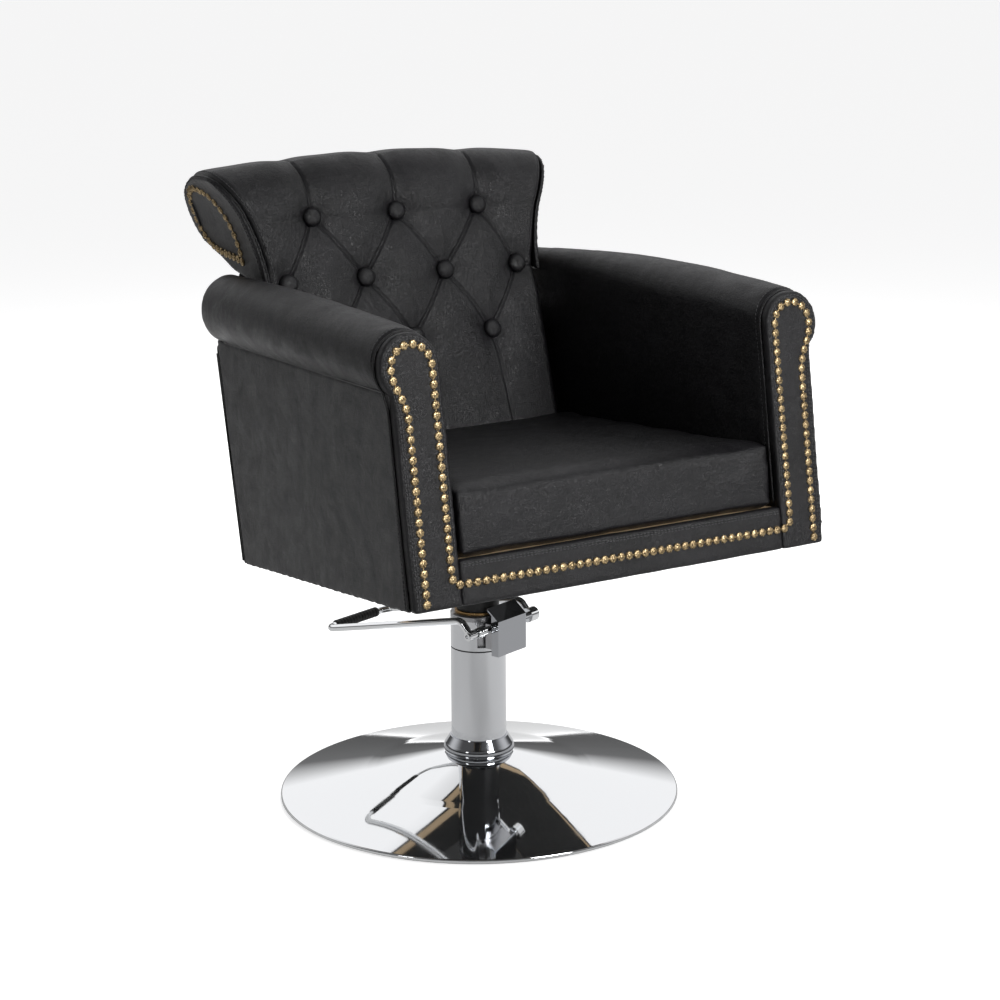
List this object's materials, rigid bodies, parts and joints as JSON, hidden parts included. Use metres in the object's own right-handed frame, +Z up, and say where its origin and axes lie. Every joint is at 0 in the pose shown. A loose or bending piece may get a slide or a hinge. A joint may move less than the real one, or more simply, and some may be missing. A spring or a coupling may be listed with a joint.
{
  "type": "styling chair",
  "caption": "Hydraulic styling chair: mirror disc base, lifting pump column with a foot bail, swivelling tub seat with rolled arms, nail trim and buttoned flared back",
  "frame": {"origin": "middle of the round base on the floor, on the column's axis", "axes": "+Z up along the column, -Y the way the sitter faces, +X to the sitter's left"},
  "size_m": [0.646, 0.7441, 0.8596],
  "materials": {
    "chrome": "mirror-polished chrome plate",
    "machined_steel": "machined steel, oiled",
    "black_steel": "black painted steel",
    "black_rubber": "matt black rubber",
    "black_plastic": "matt black plastic",
    "bronze": "plain bearing bronze",
    "plywood": "raw birch plywood",
    "black_cloth": "non-woven black cloth",
    "black_leather": "semi-matt black leatherette with a fine grain and soft creases",
    "antique_brass": "antiqued brass, darkened in the recesses"
  },
  "bodies": {
    "base": {"base_disc": "chrome", "edge_ring": "black_rubber", "weight_plate": "black_steel", "tube_socket": "black_steel", "flange_bolts": "machined_steel", "flange_nuts": "machined_steel", "centre_bolt": "machined_steel", "collar_ring": "chrome", "outer_tube": "chrome", "ram_rod": "machined_steel", "ram_piston": "machined_steel", "piston_seal": "black_rubber", "piston_nut": "machined_steel", "guide_bush": "black_plastic", "wiper_ring": "black_plastic"},
    "lift": {"pump_cylinder": "machined_steel", "rod_gland": "bronze", "head_casing": "chrome", "head_flange": "machined_steel", "swivel_spindle": "machined_steel", "thrust_washer": "bronze", "valve_block": "machined_steel", "chamber_plug": "machined_steel", "block_cover": "chrome", "return_spring": "machined_steel"},
    "lever": {"pivot_shaft": "chrome", "bail_rod": "chrome", "near_boss": "chrome", "far_boss": "chrome", "boss_screw": "chrome", "foot_sleeve": "black_rubber", "lever_cam": "machined_steel"},
    "plunger": {"pump_plunger": "machined_steel"},
    "seat": {"mount_plate": "black_steel", "seat_hub": "black_steel", "mount_screws": "machined_steel", "base_board": "plywood", "arm_frame_left": "plywood", "arm_frame_right": "plywood", "rail_board": "plywood", "seat_deck": "plywood", "back_frame": "plywood", "dust_cover": "black_cloth", "side_panel_left": "black_leather", "side_panel_right": "black_leather", "inside_pad_left": "black_leather", "inside_pad_right": "black_leather", "arm_roll_left": "black_leather", "arm_roll_right": "black_leather", "arm_facing_left": "black_leather", "arm_facing_right": "black_leather", "front_rail": "black_leather", "seat_cushion": "black_leather", "back_cushion": "black_leather", "back_buttons": "black_leather", "wing_panel_left": "black_leather", "wing_panel_right": "black_leather", "outside_back": "black_leather", "facing_nails": "antique_brass", "wing_nails": "antique_brass"}
  },
  "joints": [
    {"name": "column_lift", "type": "slide", "parent": "base", "child": "lift", "axis": [0, 0, 1], "range_m": [0, 0.13]},
    {"name": "seat_swivel", "type": "hinge", "parent": "lift", "child": "seat", "pos_m": [0, 0, 0.3], "axis": [0, 0, 1], "continuous": true},
    {"name": "bail_press", "type": "hinge", "parent": "lift", "child": "lever", "pos_m": [0.01302, -0.03782, 0.246], "axis": [0.9455, 0.3256, 0], "range_deg": [-20, 0], "stiffness_Nm_per_rad": 4, "springref_deg": 17.19},
    {"name": "plunger_stroke", "type": "slide", "parent": "lift", "child": "plunger", "axis": [0.3256, -0.9455, 0], "range_m": [-0.0002, 0.0052]}
  ],
  "couplings": [
    {"joint": "plunger_stroke", "follows": "bail_press", "m_per_rad": -0.014}
  ]
}
